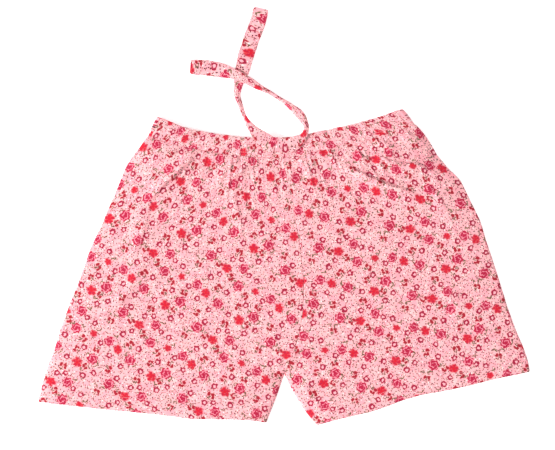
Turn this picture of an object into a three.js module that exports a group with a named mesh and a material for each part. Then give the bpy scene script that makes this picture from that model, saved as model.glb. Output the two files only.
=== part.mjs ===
// Patient shorts laid flat: four leg panels, seams, turned-up leg hems, an elasticated waistband
// and a self-fabric tie that is tacked to the front of the band.
// Millimetres. +X is the wearer's left, +Y points from the hems to the waist, +Z is up from the
// surface that the shorts lie on. "right" and "left" are always the wearer's.
import * as THREE from "three";

// ---------- Driving dimensions ----------

// Cut sizes of the garment
const waistHalf = 167.4; // middle of the relaxed waistband to its side, along the lie of the shorts
const bandHeight = 27; // waistband, top fold to lower edge
const riseLength = 318; // top of the waistband to the crotch, in a straight line
const hemDepth = 20; // turned-up hem of each leg
const seamAllowance = 10; // width of each neatened seam allowance
const tieWidth = 22;

// Cloth, elastic and thread
const clothThickness = 0.8;
const elasticThickness = 1;
const elasticWidth = 20;
const seamThickness = 1;
const threadThickness = 0.8;
const tieThickness = 1.6;
const gap = 0.3; // between two pieces that touch
const bandGap = 0.6; // between the panels and the waistband's lower edge

// How far the front stands off the back, and how it comes down at the seams
const bodyGap = 7.8; // between the back and front panels
const waistGap = 5.2; // between the back and front of the waistband
const archReach = 38; // width of the slope beside each seam
const edgeInset = 1; // from a seam to the edge of its allowance
const hemInset = 14; // from a seam to the end of the turned-up hem inside
const hemEdge = 1; // from the fold of the hem to the turned-up layer

// The lie of each leg: lengths of the outer and inner seams, their lean from +Y in degrees, how
// far the waist corner stands above the middle of the waist, and how far each edge bows out.
const legs = {
  right: {
    side: -1, waistLift: 26.5, outseam: 414, outLean: 22.4, inseam: 71, inLean: 21.2,
    sideBow: [18, 18], hemBow: [3.5, 3.5], inBow: 0, waistBow: [-9, -9],
  },
  left: {
    side: 1, waistLift: 39.8, outseam: 394, outLean: 25.5, inseam: 83, inLean: 30.3,
    sideBow: [38, 17], hemBow: [-6, -3], inBow: -5, waistBow: [-5, -5],
  },
};
const riseLean = 1.2; // degrees, towards the wearer's left
const riseBow = [12, 58]; // the lower half of the rise seam lies towards the wearer's left

// The tie's tack on the band, and the free strands as they lie. Each strand is a list of
// [x from the tack, y from the top of the band's middle, height as a share of the tack's].
const tackX = -1.5;
const tackLength = 10; // length of tie that is sewn down
const tackThread = [1.6, 18, 0.8]; // the bar of stitching, across, along and high
const tieOnBandY = -10.2; // mid-line of the tie where it is tacked
const strands = {
  right: [
    [-5.3, -10.2, 1], [-10.5, -10.2, 1], [-17, -6.5, 1], [-28.9, 3.8, 1], [-38.2, 15.5, 1],
    [-43.8, 26, 0.78], [-47.7, 34.5, 0.5], [-52.3, 47.4, 0.14], [-55.5, 58.5, 0],
    [-54.8, 70.6, 0], [-52.9, 79.7, 0], [-49, 91.3, 0], [-45.1, 109.4, 0], [-37.4, 135.2, 0],
    [-29.6, 157.2, 0], [-24.5, 176, 0],
  ],
  left: [
    [5.3, -10.2, 1], [12, -10.2, 1], [23, -8, 1], [32.1, -1.4, 1], [37.8, 7.9, 1],
    [39, 19.2, 0.97], [31.1, 31.9, 0.6], [20.7, 42.2, 0.25], [6.5, 52.6, 0.06],
    [-9, 61.6, 0.06], [-21.9, 68.6, 0.12], [-34.8, 75.8, 0.24], [-49, 83.5, 0.24],
    [-61, 89.4, 0.24], [-77.4, 93.9, 0.21], [-94.2, 96.5, 0.06], [-109.7, 97.7, 0],
    [-118.8, 98.4, 0],
  ],
};

// ---------- Values worked out from the dimensions ----------

const degree = Math.PI / 180;
const skins = 2 * (clothThickness + gap) + elasticThickness; // waistband, through both skins
const outerRadius = waistGap / 2 + skins; // round the sides of the waistband
const waistMiddle = [0, 0];
const frontUnder = clothThickness + bodyGap; // underside of the front panels
const edgeUnder = clothThickness + 2 * gap + seamThickness; // the same at a seam
const bandTop = 2 * outerRadius;
const tieMiddle = bandTop + gap + tieThickness / 2;

// ---------- Curves of the outline ----------

// A plane curve from a to b that bows to its left by about 3/4 of the two bows' mean.
function bowed(a, b, [first, second]) {
  const along = new THREE.Vector2(b[0] - a[0], b[1] - a[1]);
  const out = new THREE.Vector2(-along.y, along.x).normalize();
  const third = (k, bow) =>
    new THREE.Vector2(...a).addScaledVector(along, k / 3).addScaledVector(out, bow);
  return new THREE.CubicBezierCurve(
    new THREE.Vector2(...a), third(1, first), third(2, second), new THREE.Vector2(...b));
}

function leaning([x, y], length, lean) {
  return [x + length * Math.sin(lean * degree), y - length * Math.cos(lean * degree)];
}

const crotch = leaning(waistMiddle, riseLength, riseLean);
const riseCurve = bowed(waistMiddle, crotch, riseBow);

// The five edges of one leg. Each runs downwards, or from the side to the middle.
function edgesOf(leg) {
  const waistCorner = [leg.side * waistHalf, leg.waistLift];
  const hemOuter = leaning(waistCorner, leg.outseam, leg.side * leg.outLean);
  const hemInner = leaning(crotch, leg.inseam, leg.side * leg.inLean);
  const outwards = (bows) => bows.map((bow) => bow * leg.side);
  return {
    side: bowed(waistCorner, hemOuter, outwards(leg.sideBow)),
    hem: bowed(hemOuter, hemInner, outwards(leg.hemBow)),
    inner: bowed(crotch, hemInner, [leg.inBow, leg.inBow]),
    waist: bowed(waistCorner, waistMiddle, leg.waistBow.map((bow) => -bow * leg.side)),
  };
}

for (const leg of Object.values(legs)) Object.assign(leg, { edges: edgesOf(leg) });

// The band's lower edge: the same curve as its top, between points bandHeight down the seams.
for (const leg of Object.values(legs)) {
  const corner = leg.edges.side.getPointAt(bandHeight / leg.edges.side.getLength());
  const middle = riseCurve.getPointAt(bandHeight / riseCurve.getLength());
  leg.edges.band = bowed(
    corner.toArray(), middle.toArray(), leg.waistBow.map((bow) => -bow * leg.side));
}

// ---------- One leg as a patch: u across from the side seam, v up from the hem ----------

// v at the height of the crotch
function crotchShare(leg) {
  const above = riseCurve.getLength() - bandHeight;
  return leg.inseam / (leg.inseam + above);
}

function sidePoint(leg, v) {
  const share = bandHeight / leg.edges.side.getLength();
  return leg.edges.side.getPointAt(1 - v * (1 - share));
}

function innerPoint(leg, v) {
  const at = crotchShare(leg);
  if (v <= at) return leg.edges.inner.getPointAt(1 - v / at);
  const share = bandHeight / riseCurve.getLength();
  return riseCurve.getPointAt(1 - ((v - at) / (1 - at)) * (1 - share));
}

// A Coons patch between the four edges.
function patchPoint(leg, u, v) {
  const [side, inner] = [sidePoint(leg, v), innerPoint(leg, v)];
  const [hem, band] = [leg.edges.hem.getPointAt(u), leg.edges.band.getPointAt(u)];
  const corners = [sidePoint(leg, 0), innerPoint(leg, 0), sidePoint(leg, 1), innerPoint(leg, 1)];
  const blend = (axis) =>
    (1 - u) * side[axis] + u * inner[axis] + (1 - v) * hem[axis] + v * band[axis] -
    (1 - v) * ((1 - u) * corners[0][axis] + u * corners[1][axis]) -
    v * ((1 - u) * corners[2][axis] + u * corners[3][axis]);
  return [blend("x"), blend("y")];
}

// Length of the rise seam for each unit of v.
function riseSpan(leg) {
  return (riseCurve.getLength() - bandHeight) / (1 - crotchShare(leg));
}

function widthAt(leg, v) {
  return sidePoint(leg, v).distanceTo(innerPoint(leg, v));
}

// Length of a patch from hem to band, along the side.
function patchLength(leg) {
  return leg.edges.side.getLength() - bandHeight;
}

// ---------- Height of the front ----------

// Underside of the front panel at u and v: it slopes up from the seams, and round the crotch.
function frontHeight(leg, u, v) {
  const width = widthAt(leg, v);
  const pastCrotch = Math.max(0, v - crotchShare(leg)) * riseSpan(leg);
  const reach = Math.min(u * width, (1 - u) * width + pastCrotch, archReach);
  return edgeUnder + ((frontUnder - edgeUnder) * reach) / archReach;
}

// ---------- Solids made by bending straight ones ----------

// Gives a geometry its final positions, and turns its faces if the bending mirrored it.
function bent(geometry, place) {
  const position = geometry.attributes.position;
  for (let i = 0; i < position.count; i++) position.setXYZ(i, ...place(i));
  const index = geometry.index.array;
  const [a, b, c] = [new THREE.Vector3(), new THREE.Vector3(), new THREE.Vector3()];
  let volume = 0;
  for (let i = 0; i < index.length; i += 3) {
    a.fromBufferAttribute(position, index[i]);
    b.fromBufferAttribute(position, index[i + 1]);
    c.fromBufferAttribute(position, index[i + 2]);
    volume += a.dot(b.cross(c));
  }
  if (volume < 0)
    for (let i = 0; i < index.length; i += 3) [index[i], index[i + 1]] = [index[i + 1], index[i]];
  geometry.computeVertexNormals();
  return geometry;
}

// A box of across x along cells and one cell thick, bent by place(a, b, c), each from 0 to 1.
function bentBox(across, along, place) {
  const box = new THREE.BoxGeometry(1, 1, 1, across, along, 1);
  const straight = box.attributes.position.clone();
  return bent(box, (i) =>
    place(straight.getX(i) + 0.5, straight.getY(i) + 0.5, straight.getZ(i) + 0.5));
}

// A closed loop of the given stations, whose section has the given corners.
function bentLoop(stations, corners, place) {
  const ring = new THREE.TorusGeometry(2, 1, corners, stations);
  const uv = ring.attributes.uv.clone();
  return bent(ring, (i) => {
    const station = Math.round(uv.getX(i) * stations) % stations;
    const corner = Math.round(uv.getY(i) * corners) % corners;
    return place(station, corner);
  });
}

// ---------- Materials ----------

const cotton = { color: 0xf2b4bc, roughness: 0.85, metalness: 0 };
const white = { color: 0xf2efe9, roughness: 0.7, metalness: 0 };
const red = { color: 0xd9707e, roughness: 0.6, metalness: 0 };

const shorts = new THREE.Group();

function add(name, geometry, look) {
  const mesh = new THREE.Mesh(geometry, new THREE.MeshStandardMaterial(look));
  mesh.name = name;
  shorts.add(mesh);
  return mesh;
}

// ---------- Leg panels ----------

const middleColumns = 8;
const rowsBelowCrotch = 4;
const rowsAboveCrotch = 10;

// The columns of a panel: one along each seam, one at the top of each slope, and the rest even.
function columnShare(leg, share, v) {
  const column = Math.round(share * (middleColumns + 2));
  const slope = archReach / widthAt(leg, v);
  if (column === 0) return 0;
  if (column === middleColumns + 2) return 1;
  return THREE.MathUtils.lerp(slope, 1 - slope, (column - 1) / middleColumns);
}

// The rows of a panel: one meets the crotch, and the next the top of the slope above it.
function rowShare(leg, share) {
  const row = Math.round(share * (rowsBelowCrotch + rowsAboveCrotch));
  const at = crotchShare(leg);
  if (row <= rowsBelowCrotch) return (at * row) / rowsBelowCrotch;
  const slopeTop = at + archReach / riseSpan(leg);
  return THREE.MathUtils.lerp(slopeTop, 1, (row - rowsBelowCrotch - 1) / (rowsAboveCrotch - 1));
}

// The panels stop half a gap short of the rise seam, and short of the waistband.
function panel(leg, underside) {
  const top = 1 - bandGap / patchLength(leg);
  return bentBox(middleColumns + 2, rowsBelowCrotch + rowsAboveCrotch, (a, b, c) => {
    const v = Math.min(rowShare(leg, b), top);
    const u = Math.min(columnShare(leg, a, v), 1 - gap / 2 / widthAt(leg, v));
    const [x, y] = patchPoint(leg, u, v);
    return [x, y, underside(leg, u, v) + c * clothThickness];
  });
}

for (const [name, leg] of Object.entries(legs)) {
  add(`front_panel_${name}`, panel(leg, frontHeight), cotton);
  add(`back_panel_${name}`, panel(leg, () => 0), cotton);
}

// ---------- Seam allowances, inside between the front and the back ----------

const seamSteps = 16;

// A strip that keeps between two distances from the seam at u 0 or u 1.
function seamStrip(leg, atSide, lowest, highest) {
  return bentBox(1, seamSteps, (a, b, c) => {
    const v = THREE.MathUtils.lerp(lowest, highest, b);
    const share = (edgeInset + a * seamAllowance) / widthAt(leg, v);
    const [x, y] = patchPoint(leg, atSide ? share : 1 - share, v);
    return [x, y, clothThickness + gap + c * seamThickness];
  });
}

// A strip across the rise seam, from below the waistband to the slope above the crotch.
function riseStrip(underside) {
  const length = riseCurve.getLength();
  const low = 1 - (archReach + seamAllowance / 2) / length;
  const high = (bandHeight + bandGap) / length;
  return bentBox(1, seamSteps, (a, b, c) => {
    const at = THREE.MathUtils.lerp(low, high, b);
    const point = riseCurve.getPointAt(at);
    const along = riseCurve.getTangentAt(at);
    const off = (a - 0.5) * seamAllowance;
    const [x, y] = [point.x - along.y * off, point.y + along.x * off];
    return [x, y, underside + c * seamThickness];
  });
}

for (const [name, leg] of Object.entries(legs)) {
  const endClear = gap / patchLength(leg);
  const bandClear = bandGap / patchLength(leg);
  add(`side_seam_${name}`, seamStrip(leg, true, endClear, 1 - bandClear), cotton);
  add(`inseam_${name}`, seamStrip(leg, false, endClear, crotchShare(leg) - endClear), cotton);
}
add("front_rise_seam", riseStrip(frontUnder - gap - seamThickness), cotton);
add("back_rise_seam", riseStrip(clothThickness + gap), cotton);

// ---------- Turned-up hems and their stitching ----------

const hemSteps = 12;

// A loop inside the leg between two heights above the hem, one layer thick: along under the
// front panel, and back on the back panel.
function hemLoop(leg, from, to, thickness) {
  const corners = [[from, 0], [to, 0], [to, 1], [from, 1]]; // height above the hem, depth of layer
  return bentLoop(2 * (hemSteps + 1), corners.length, (station, corner) => {
    const [height, depth] = corners[corner];
    const v = height / patchLength(leg);
    const inFront = station <= hemSteps;
    const share = (inFront ? station : 2 * hemSteps + 1 - station) / hemSteps;
    const clear = (hemInset + depth * thickness) / widthAt(leg, v);
    const u = THREE.MathUtils.lerp(clear, 1 - clear, share);
    const [x, y] = patchPoint(leg, u, v);
    const front = frontHeight(leg, u, v) - gap - depth * thickness;
    return [x, y, inFront ? front : clothThickness + gap + depth * thickness];
  });
}

for (const [name, leg] of Object.entries(legs)) {
  add(`hem_${name}`, hemLoop(leg, hemEdge, hemDepth, clothThickness), cotton);
  const stitchFrom = hemDepth + gap;
  add(`hem_stitch_${name}`,
    hemLoop(leg, stitchFrom, stitchFrom + threadThickness, threadThickness), red);
}

// ---------- Waistband: casing, elastic and stitching, as loops round the waist ----------

const runSteps = 20;
const turnSteps = 4;
const loopSteps = 2 * (runSteps + turnSteps);

// Point at a share of the way from the right side to the left, and up the band from 0 to 1.
function bandPoint(share, up) {
  const leg = share < 0.5 ? legs.right : legs.left;
  const along = share < 0.5 ? 2 * share : 2 * (1 - share);
  return leg.edges.band.getPointAt(along).lerp(leg.edges.waist.getPointAt(along), up);
}

const bandLength = legs.right.edges.waist.getLength() + legs.left.edges.waist.getLength();

// A point of the flattened loop at a station: radius is its distance from the loop's middle
// line, and height is from the band's lower edge.
function bandLoopPoint(station, radius, height) {
  const turn = outerRadius / bandLength; // share taken by the round end at each side
  const up = height / bandHeight;
  const half = runSteps + turnSteps;
  const onFront = station <= runSteps || station >= half + runSteps;
  if (station % half <= runSteps) {
    const share = THREE.MathUtils.lerp(turn, 1 - turn, (station % half) / runSteps);
    const point = bandPoint(station < half ? share : 1 - share, up);
    return [point.x, point.y, outerRadius + (station < half ? radius : -radius)];
  }
  const angle = (((station % half) - runSteps) / turnSteps) * Math.PI;
  const atLeft = station < half;
  const centre = bandPoint(atLeft ? 1 - turn : turn, up);
  const side = bandPoint(atLeft ? 1 : 0, up).sub(centre).normalize();
  const reach = radius * Math.sin(angle);
  const rise = (atLeft ? 1 : -1) * radius * Math.cos(angle);
  return [centre.x + side.x * reach, centre.y + side.y * reach, outerRadius + rise];
}

// A loop whose section is given as [radius, height] corners.
function bandLoop(section) {
  return bentLoop(loopSteps, section.length, (station, corner) =>
    bandLoopPoint(station, ...section[corner]));
}

function rectangle(inner, outer, low, high) {
  return [[outer, low], [outer, high], [inner, high], [inner, low]];
}

const innerRadius = outerRadius - skins;
const slotInner = innerRadius + clothThickness;
const slotOuter = outerRadius - clothThickness;
const foldUnder = bandHeight - clothThickness;
const elasticTop = foldUnder - gap;

add("waistband_casing", bandLoop([
  [outerRadius, 0], [outerRadius, bandHeight], [innerRadius, bandHeight], [innerRadius, 0],
  [slotInner, 0], [slotInner, foldUnder], [slotOuter, foldUnder], [slotOuter, 0],
]), cotton);
add("waist_elastic", bandLoop(
  rectangle(slotInner + gap, slotOuter - gap, elasticTop - elasticWidth, elasticTop)), white);
const stitchTop = elasticTop - elasticWidth - gap;
const slotMiddle = (slotInner + slotOuter) / 2;
add("waistband_stitch", bandLoop(rectangle(
  slotMiddle - threadThickness / 2, slotMiddle + threadThickness / 2,
  stitchTop - threadThickness, stitchTop)), red);

// ---------- Tie ----------

const strandSteps = 44;

// A flat strand whose width stays level while its mid-line follows the path.
for (const [name, points] of Object.entries(strands)) {
  const path = new THREE.CatmullRomCurve3(points.map(([x, y, share]) =>
    new THREE.Vector3(tackX + x, y, THREE.MathUtils.lerp(tieThickness * 0.6, tieMiddle, share))));
  add(`tie_strand_${name}`, bentBox(1, strandSteps, (a, b, c) => {
    const [middle, along] = [path.getPointAt(b), path.getTangentAt(b)];
    const off = ((a - 0.5) * tieWidth) / Math.hypot(along.x, along.y);
    return [middle.x - along.y * off, middle.y + along.x * off,
      middle.z + (c - 0.5) * tieThickness];
  }), cotton);
}

const tieCentre = new THREE.BoxGeometry(tackLength, tieWidth, tieThickness);
add("tie_centre", tieCentre, cotton).position.set(tackX, tieOnBandY, tieMiddle);
const threadZ = tieMiddle + tieThickness / 2 + gap + tackThread[2] / 2;
add("tie_bartack", new THREE.BoxGeometry(...tackThread), red)
  .position.set(tackX, tieOnBandY, threadZ);

// ---------- Origin: the middle of the footprint of everything but the free strands ----------

const footprint = new THREE.Box3();
for (const mesh of shorts.children)
  if (!mesh.name.startsWith("tie_strand")) footprint.expandByObject(mesh);
const middle = footprint.getCenter(new THREE.Vector3());
for (const mesh of shorts.children) {
  mesh.position.x -= middle.x;
  mesh.position.y -= middle.y;
}

export default shorts;
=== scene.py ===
"""Patient shorts laid flat: printed cotton panels, gathered waistband, turned-up hems and a loose tie.

Lengths inside the shape functions are millimetres. Meshes are written in metres.
"""

import math

import bpy
import numpy as np
from bpy.props import FloatProperty, FloatVectorProperty, IntProperty, PointerProperty
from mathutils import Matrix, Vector


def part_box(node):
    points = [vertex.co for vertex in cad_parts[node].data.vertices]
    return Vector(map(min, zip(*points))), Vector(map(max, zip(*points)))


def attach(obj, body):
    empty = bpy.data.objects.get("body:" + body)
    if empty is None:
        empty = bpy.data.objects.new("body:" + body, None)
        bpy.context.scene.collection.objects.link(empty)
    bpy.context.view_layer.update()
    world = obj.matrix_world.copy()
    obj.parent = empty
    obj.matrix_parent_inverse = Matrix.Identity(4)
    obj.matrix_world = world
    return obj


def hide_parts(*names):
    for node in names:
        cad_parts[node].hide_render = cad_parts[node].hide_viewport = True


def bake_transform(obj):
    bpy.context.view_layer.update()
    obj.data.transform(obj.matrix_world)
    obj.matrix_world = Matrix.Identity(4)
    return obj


bl_info = {
    "name": "Patient Shorts",
    "version": (1, 0, 0),
    "blender": (4, 5, 0),
    "location": "View3D > Sidebar > Shorts",
    "description": "Builds printed cotton patient shorts that lie flat, with a loose tie",
    "category": "Add Mesh",
}

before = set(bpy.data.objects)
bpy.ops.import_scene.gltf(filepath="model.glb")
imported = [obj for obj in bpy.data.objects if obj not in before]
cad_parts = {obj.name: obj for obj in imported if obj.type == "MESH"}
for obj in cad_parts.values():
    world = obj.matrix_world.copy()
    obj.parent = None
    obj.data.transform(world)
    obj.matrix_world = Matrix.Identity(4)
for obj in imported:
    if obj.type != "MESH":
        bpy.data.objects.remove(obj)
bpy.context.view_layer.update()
MM = 0.001


# ---------- Settings ----------


def length(label, default, text):
    return FloatProperty(name=label, description=text, default=default, min=0.0)


def colour(label, default, text):
    return FloatVectorProperty(
        name=label, description=text, subtype="COLOR", size=3, min=0.0, max=1.0, default=default
    )


class GarmentSizes(bpy.types.PropertyGroup):
    """Sizes of the shorts, in millimetres"""

    waist_half: length("Half waist", 167.4, "Middle of the relaxed waistband to its side")
    band_height: length("Band height", 27.0, "Waistband, top fold to lower edge")
    rise: length("Rise", 318.0, "Top of the waistband to the crotch")
    hem_depth: length("Hem depth", 20.0, "Turned-up hem of each leg")
    seam_allowance: length("Seam allowance", 10.0, "Width of each seam allowance")
    cloth: length("Cloth thickness", 0.35, "Thickness of one layer of the cotton")
    stitch: length("Stitch length", 3.0, "Length of one stitch")
    front_height: length("Front height", 6.4, "Height of the front over the surface below")
    fullness: length("Fullness", 0.17, "Extra cloth that the elastic gathers, as a share")
    settle_frames: IntProperty(
        name="Settling frames", description="Frames of cloth simulation", default=22, min=2
    )


class PrintColours(bpy.types.PropertyGroup):
    """Colours of the print, the thread and the elastic, linear"""

    ground: colour("Ground", (0.980, 0.375, 0.425), "Pale pink ground of the cloth")
    cream: colour("Cream", (0.985, 0.590, 0.560), "Cream patches in the ground")
    rose: colour("Rose", (0.450, 0.010, 0.050), "Deep rose of the large flowers")
    petal: colour("Petal", (0.880, 0.270, 0.350), "Light strokes on the large flowers")
    ring: colour("Ring", (0.350, 0.009, 0.042), "Dark rose of the small open flowers")
    blossom: colour("Blossom", (0.620, 0.006, 0.022), "Bright red of the full blossoms")
    bud: colour("Bud", (0.370, 0.010, 0.024), "Brick red of the buds")
    leaf: colour("Leaf", (0.150, 0.090, 0.048), "Olive of the leaves and stems")
    leaf_tip: colour("Leaf tip", (0.28, 0.21, 0.12), "Paler olive inside the leaves")
    eye: colour("Eye", (0.93, 0.42, 0.47), "Pale middle of the small open flowers")
    speck: colour("Speck", (0.060, 0.014, 0.024), "Dark specks")
    fleck: colour("Fleck", (0.98, 0.88, 0.86), "Pale flecks between the flowers")
    thread: colour("Thread", (0.80, 0.38, 0.43), "Shaded side of the sewing thread")
    thread_light: colour("Thread, light", (0.93, 0.52, 0.56), "Lit side of the sewing thread")
    # The elastic is one white: its furrow colour is painted shade and its rib colour is painted light.
    elastic: colour("Elastic", (0.66, 0.64, 0.60), "Furrows of the elastic")
    elastic_lit_rib: colour("Elastic, light", (0.84, 0.82, 0.78), "Ribs of the elastic")


# ---------- Outline of the shorts ----------


class Edge:
    """A plane curve from a to b that bows to its left, read by its share of arc length."""

    def __init__(self, a, b, bows):
        a, b = np.array(a, float), np.array(b, float)
        along = b - a
        out = np.array([-along[1], along[0]]) / math.hypot(*along)
        c1, c2 = a + along / 3 + out * bows[0], a + along * 2 / 3 + out * bows[1]
        t = np.linspace(0, 1, 401)[:, None]
        self.points = (1 - t) ** 3 * a + 3 * (1 - t) ** 2 * t * c1 + 3 * (1 - t) * t**2 * c2 + t**3 * b
        self.arc = np.concatenate([[0], np.cumsum(np.hypot(*np.diff(self.points, axis=0).T))])
        self.length = float(self.arc[-1])

    def at(self, share):
        s = np.asarray(share, float) * self.length
        return np.stack([np.interp(s, self.arc, self.points[:, k]) for k in (0, 1)], -1)


def leaning(start, reach, degrees):
    angle = math.radians(degrees)
    return (start[0] + reach * math.sin(angle), start[1] - reach * math.cos(angle))


def smooth(x, low=0.0, high=1.0):
    t = np.clip((np.asarray(x, float) - low) / (high - low), 0, 1)
    return t * t * (3 - 2 * t)


def lerp(a, b, t):
    return a + (b - a) * t


TACK = np.array([-1.5, -10.2])  # middle of the tie's tack, from the middle of the band's top
RISE_LEAN = 1.2
RISE_BOW = (12, 58)
OUTER_RADIUS = 5.8  # round the sides of the waistband
EDGE_HEIGHT = 0.9  # height of the seams that join the front to the back
CREASE_REACH = 30.0  # width of the slope beside each seam


class Leg:
    """One leg of the shorts: u runs from the side seam to the inner edge, v from the hem up."""

    def __init__(self, name, side, shape, origin, sizes):
        self.name, self.side = name, side
        band, rise = sizes.band_height, Edge((0, 0), leaning((0, 0), sizes.rise, RISE_LEAN), RISE_BOW)
        corner = (side * sizes.waist_half, shape["lift"])
        hem_outer = leaning(corner, shape["outseam"], side * shape["out_lean"])
        hem_inner = leaning(rise.points[-1], shape["inseam"], side * shape["in_lean"])
        self.rise = rise
        self.side_edge = Edge(corner, hem_outer, [b * side for b in shape["side"]])
        self.hem = Edge(hem_outer, hem_inner, [b * side for b in shape["hem"]])
        self.inner = Edge(rise.points[-1], hem_inner, [shape["inner"]] * 2)
        waist_bow = [-b * side for b in shape["waist"]]
        self.waist = Edge(corner, (0, 0), waist_bow)
        low_corner = self.side_edge.at(band / self.side_edge.length)
        self.band = Edge(low_corner, rise.at(band / rise.length), waist_bow)
        self.band_height = band
        self.above = rise.length - band
        self.crotch = shape["inseam"] / (shape["inseam"] + self.above)
        self.long = self.side_edge.length - band
        self.origin = origin
        self.side_wave, self.hem_wave = shape["side_wave"], shape["hem_wave"]
        self.waist_lift = shape["waist_lift"]

    def side_point(self, v):
        start = self.band_height / self.side_edge.length
        return self.side_edge.at(1 - np.asarray(v) * (1 - start))

    def inner_point(self, v):
        v = np.asarray(v, float)
        low = self.inner.at(1 - np.clip(v / self.crotch, 0, 1))
        start = self.band_height / self.rise.length
        past = np.clip((v - self.crotch) / (1 - self.crotch), 0, 1)
        high = self.rise.at(1 - past * (1 - start))
        return np.where((v <= self.crotch)[..., None], low, high)

    def point(self, u, v):
        """Place in plan, from the middle of the shorts."""
        u, v = np.broadcast_arrays(np.asarray(u, float), np.asarray(v, float))
        a, b = u[..., None], v[..., None]
        ends = np.array([0.0, 1.0])
        (s0, s1), (i0, i1) = self.side_point(ends), self.inner_point(ends)
        place = (1 - a) * self.side_point(v) + a * self.inner_point(v)
        place = place + (1 - b) * self.hem.at(u) + b * self.band.at(u)
        place = place - (1 - b) * ((1 - a) * s0 + a * i0) - b * ((1 - a) * s1 + a * i1)
        outwards = np.interp(v, *self.side_wave) * (1 - u) ** 2
        down = np.interp(u, *self.hem_wave) * (1 - v) ** 8
        inwards = 1.2 * u**6 * smooth(1 - v / self.crotch, 0, 0.5)
        place = place + np.stack([self.side * outwards * 0.9 + inwards, outwards * 0.4 - down], -1)
        return place - self.origin

    def top(self, u):
        """Place of the waistband's upper fold, over the panel's top edge."""
        shift = self.point(u, 1.0) + self.origin - self.band.at(u)
        shift[..., 1] += self.waist_lift * smooth(1 - u * self.band.length / 50)
        return self.waist.at(u) + shift - self.origin

    def width(self, v):
        return np.linalg.norm(self.side_point(v) - self.inner_point(v), axis=-1)

    def seam_reach(self, u, v):
        """Distance to the nearest seam that joins the front to the back."""
        width = self.width(v)
        past = np.maximum(0, v - self.crotch) * self.above / (1 - self.crotch)
        return np.minimum(u * width, (1 - u) * width + past)


def make_legs(sizes):
    """Both legs. Each lists its seams' lengths, leans and bows, then the waves of its edges."""
    low, high = (np.array(c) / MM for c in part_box("tie_centre"))
    origin = TACK - (low + high)[:2] / 2
    right = dict(
        lift=26.5, outseam=414, out_lean=22.4, inseam=71, in_lean=21.2,
        side=[18, 18], hem=[3.5, 3.5], inner=0, waist=[-9, -9], waist_lift=4.6,
        side_wave=(
            [0, 0.04, 0.12, 0.19, 0.27, 0.42, 0.5, 0.57, 0.65, 0.72, 0.8, 0.875, 0.95, 1],
            [1.5, 2.6, 2.2, 0.4, 1.0, 0, 0.3, 1.9, 0.4, 1.0, 1.6, 3.4, -0.6, -1.6],
        ),
        hem_wave=([0, 0.5, 0.58, 0.68, 0.79, 0.91, 1], [0, 0, 0.5, 2.0, 0, -2.4, -0.2]),
    )
    left = dict(
        lift=39.8, outseam=394, out_lean=25.5, inseam=83, in_lean=30.3,
        side=[38, 17], hem=[-6, -3], inner=-5, waist=[-5, -5], waist_lift=1.2,
        side_wave=(
            [0, 0.04, 0.09, 0.17, 0.25, 0.335, 0.416, 0.5, 0.58, 0.66, 0.743, 0.8, 0.86, 0.92, 1],
            [1.6, 4.0, 3.6, 1.0, 0.2, 1.4, 2.8, 4.4, 8.0, 7.2, 8.0, 1.0, -3.2, -2.0, -0.8],
        ),
        hem_wave=(
            [0, 0.16, 0.28, 0.4, 0.51, 0.6, 0.66, 0.75, 0.87, 1],
            [0, 0, 1.0, 0, -2.6, -2.2, 0, 1.3, -1.0, -2.4],
        ),
    )
    return {
        "right": Leg("right", -1, right, origin, sizes),
        "left": Leg("left", 1, left, origin, sizes),
    }


# ---------- Heights ----------


def ripples(s, seed, waves):
    """A sum of wandering waves along s. waves lists (length, height)."""
    rng = np.random.default_rng(seed)
    total = np.zeros_like(np.asarray(s, float))
    for wave, high in waves:
        phase, drift, slow = rng.uniform(0, 6.28, 3)
        total += high * np.sin(
            2 * math.pi * s / wave + phase + 1.6 * np.sin(2 * math.pi * s / (wave * 5.3) + drift)
        ) * (0.75 + 0.35 * np.sin(2 * math.pi * s / (wave * 8.1) + slow))
    return total


def crumple(x, y, seed, waves):
    """Low uneven waves in plan. waves lists (length, height)."""
    rng = np.random.default_rng(seed)
    total = np.zeros_like(x)
    for wave, high in waves:
        for _ in range(5):
            turn, phase, bend = rng.uniform(0, 6.28, 3)
            along = x * math.cos(turn) + y * math.sin(turn)
            across = -x * math.sin(turn) + y * math.cos(turn)
            total += high * 0.45 * np.sin(
                2 * math.pi * along / wave + phase + 1.3 * np.sin(across / wave * 2.1 + bend)
            )
    return total


GATHERS = [(17.0, 0.40), (10.5, 0.46), (6.9, 0.36)]


def gather(leg, u, front):
    """Puckers of the band's edge at u, in millimetres off the smooth cloth."""
    s = leg.side * (1 - u) * leg.band.length
    edge = smooth(u * leg.band.length, 0, 10)
    return ripples(s, 11 if front else 23, GATHERS) * edge


def front_dome(leg, u, v, sizes):
    """Height of the front's outer face where the cloth is smooth."""
    reach = lerp(CREASE_REACH, 6.0, smooth(v, 0.9, 1))
    x = np.clip(leg.seam_reach(u, v) / reach, 0, 1)
    edge = lerp(EDGE_HEIGHT, OUTER_RADIUS, smooth(v, 0.86, 1))
    top = lerp(sizes.front_height, OUTER_RADIUS + 5.05, smooth(v, 0.5, 1.02))
    return edge + (top - edge) * np.sqrt(1 - (1 - x) ** 2)


def back_dome(leg, u, v):
    reach = lerp(16.0, 6.0, smooth(v, 0.9, 1))
    x = np.clip(leg.seam_reach(u, v) / reach, 0, 1)
    edge = lerp(EDGE_HEIGHT - 0.45, OUTER_RADIUS, smooth(v, 0.86, 1))
    low = lerp(0.05, OUTER_RADIUS - 5.1, smooth(v, 0.9, 1))
    return edge + (low - edge) * np.sqrt(1 - (1 - x) ** 2)


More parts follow.
